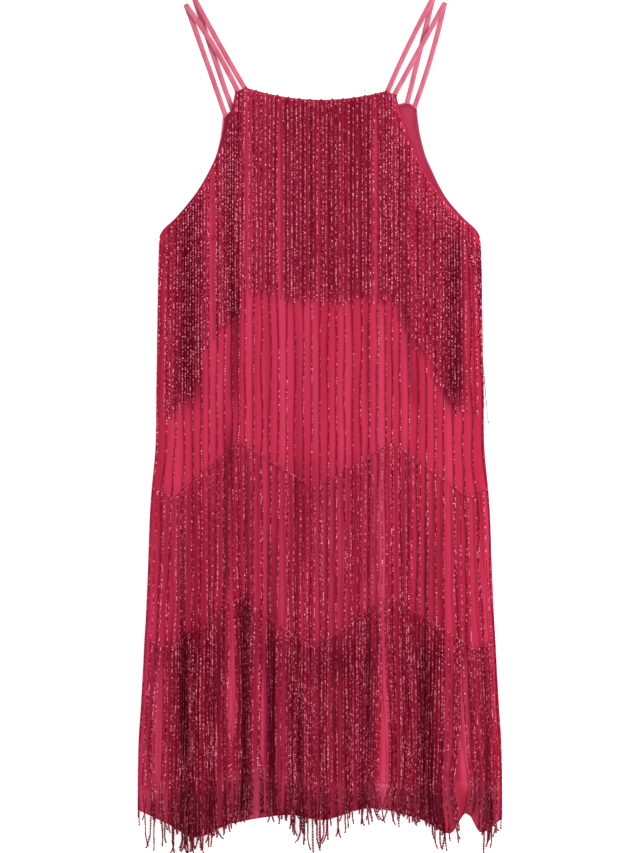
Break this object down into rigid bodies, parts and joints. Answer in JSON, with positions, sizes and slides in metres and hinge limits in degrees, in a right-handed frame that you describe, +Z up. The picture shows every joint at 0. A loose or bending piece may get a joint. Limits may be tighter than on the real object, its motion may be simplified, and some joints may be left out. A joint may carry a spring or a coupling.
{
  "type": "tassel mini dress",
  "caption": "Sleeveless mini dress laid flat, with a sheer shell over a lining, thin double straps and tiers of beaded fringe in chevrons down its front.",
  "frame": {"origin": "the middle of the dress as it lies, on the surface under it", "axes": "+X to the right as the front is seen, +Y up the dress from its hem to its straps, +Z up from the surface, out of the front"},
  "size_m": [0.4376, 1.0291, 0.013],
  "materials": {
    "chiffon": "sheer crimson chiffon",
    "lining": "rose red jersey lining",
    "strap": "pink satin rouleau",
    "beads": "dark crimson seed beads on thread"
  },
  "bodies": {
    "root": {"back_shell": "chiffon", "back_lining": "lining", "front_lining": "lining", "front_shell": "chiffon", "strap_left_outer": "strap", "strap_left_inner": "strap", "strap_right_inner": "strap", "strap_right_outer": "strap", "long_strands": "beads", "bib_fringe": "beads", "upper_chevron_fringe": "beads", "lower_chevron_fringe": "beads"}
  },
  "joints": []
}
